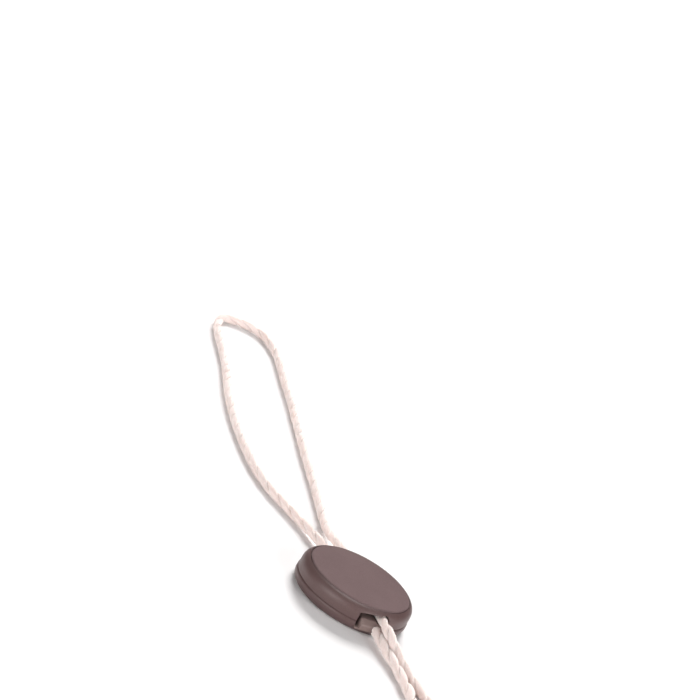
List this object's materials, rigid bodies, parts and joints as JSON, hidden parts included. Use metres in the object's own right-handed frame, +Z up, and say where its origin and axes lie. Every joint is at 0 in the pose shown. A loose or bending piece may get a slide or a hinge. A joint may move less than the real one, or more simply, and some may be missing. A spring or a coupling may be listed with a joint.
{
  "type": "string seal",
  "caption": "Round flat two-shell plastic string seal for a hang tag, with a lock plug, a spring catch and a loop of twisted cotton cord on each side.",
  "frame": {"origin": "centre of the round casing's flat back, where it rests", "axes": "+Z up through the casing's face, -Y out of the plug's window towards the tag loop, +Y out of the two cord holes towards the product loop"},
  "size_m": [0.0229, 0.1355, 0.0037],
  "materials": {
    "casing": "warm grey-brown, finely textured moulded plastic",
    "face": "warm grey-brown, smooth matte",
    "plug": "warm grey-brown moulded plastic",
    "leaf": "rolled spring steel",
    "ferrule": "plain",
    "cord": "cream two-ply twisted cotton with a slight fuzz"
  },
  "bodies": {
    "casing": {"back_shell": "casing", "front_shell": "casing", "face_cap": "face", "latch_leaf": "leaf", "cord_ferrule": "ferrule", "loop_cord": "cord"},
    "plug": {"lock_plug": "plug", "tag_cord": "cord"}
  },
  "joints": [
    {"name": "plug_slide", "type": "slide", "parent": "casing", "child": "plug", "axis": [0, -1, 0], "range_m": [0, 0.0062], "deforming": ["latch_leaf"]}
  ]
}
